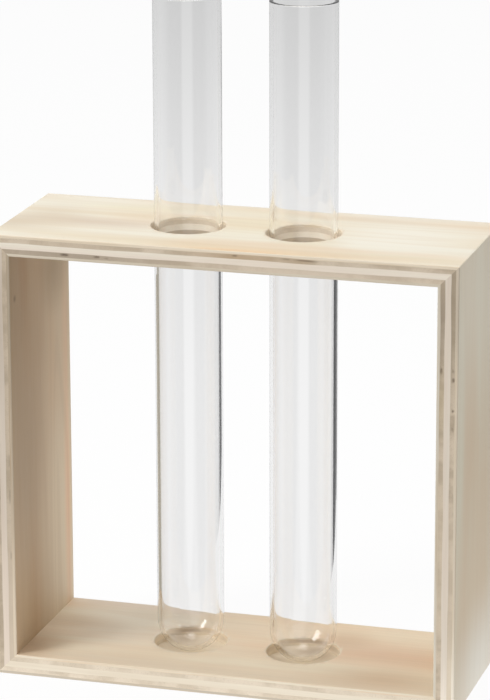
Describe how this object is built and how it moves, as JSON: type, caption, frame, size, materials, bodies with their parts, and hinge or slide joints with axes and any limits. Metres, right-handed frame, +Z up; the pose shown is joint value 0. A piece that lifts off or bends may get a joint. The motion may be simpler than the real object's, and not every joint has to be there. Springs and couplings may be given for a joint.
{
  "type": "test tube vase",
  "caption": "Open rectangular frame of mitred plywood boards that holds upright round-bottomed glass test tubes as bud vases.",
  "frame": {"origin": "middle of the frame's underside, on the surface that it stands on", "axes": "+Z up along the tubes, +X along the frame's width to the right seen from the front, +Y through the frame to the back"},
  "size_m": [0.14, 0.053, 0.2033],
  "materials": {
    "face_veneer": "fine sanded pale veneer, matt clear oil",
    "crossband_veneer": "end grain at the sanded board edge, matt",
    "core_veneer": "long grain at the sanded board edge, matt",
    "clear_glass": "clear, polished by fire at the lip"
  },
  "bodies": {
    "frame": {"bottom_board_outer_veneer": "face_veneer", "bottom_board_outer_crossband": "crossband_veneer", "bottom_board_core": "core_veneer", "bottom_board_inner_crossband": "crossband_veneer", "bottom_board_inner_veneer": "face_veneer", "right_board_outer_veneer": "face_veneer", "right_board_outer_crossband": "crossband_veneer", "right_board_core": "core_veneer", "right_board_inner_crossband": "crossband_veneer", "right_board_inner_veneer": "face_veneer", "top_board_outer_veneer": "face_veneer", "top_board_outer_crossband": "crossband_veneer", "top_board_core": "core_veneer", "top_board_inner_crossband": "crossband_veneer", "top_board_inner_veneer": "face_veneer", "left_board_outer_veneer": "face_veneer", "left_board_outer_crossband": "crossband_veneer", "left_board_core": "core_veneer", "left_board_inner_crossband": "crossband_veneer", "left_board_inner_veneer": "face_veneer"},
    "left_tube": {"left_test_tube": "clear_glass"},
    "right_tube": {"right_test_tube": "clear_glass"}
  },
  "joints": [
    {"name": "left_tube_lift", "type": "slide", "parent": "frame", "child": "left_tube", "axis": [0, 0, 1], "range_m": [0, 0.135]},
    {"name": "right_tube_lift", "type": "slide", "parent": "frame", "child": "right_tube", "axis": [0, 0, 1], "range_m": [0, 0.135]}
  ]
}
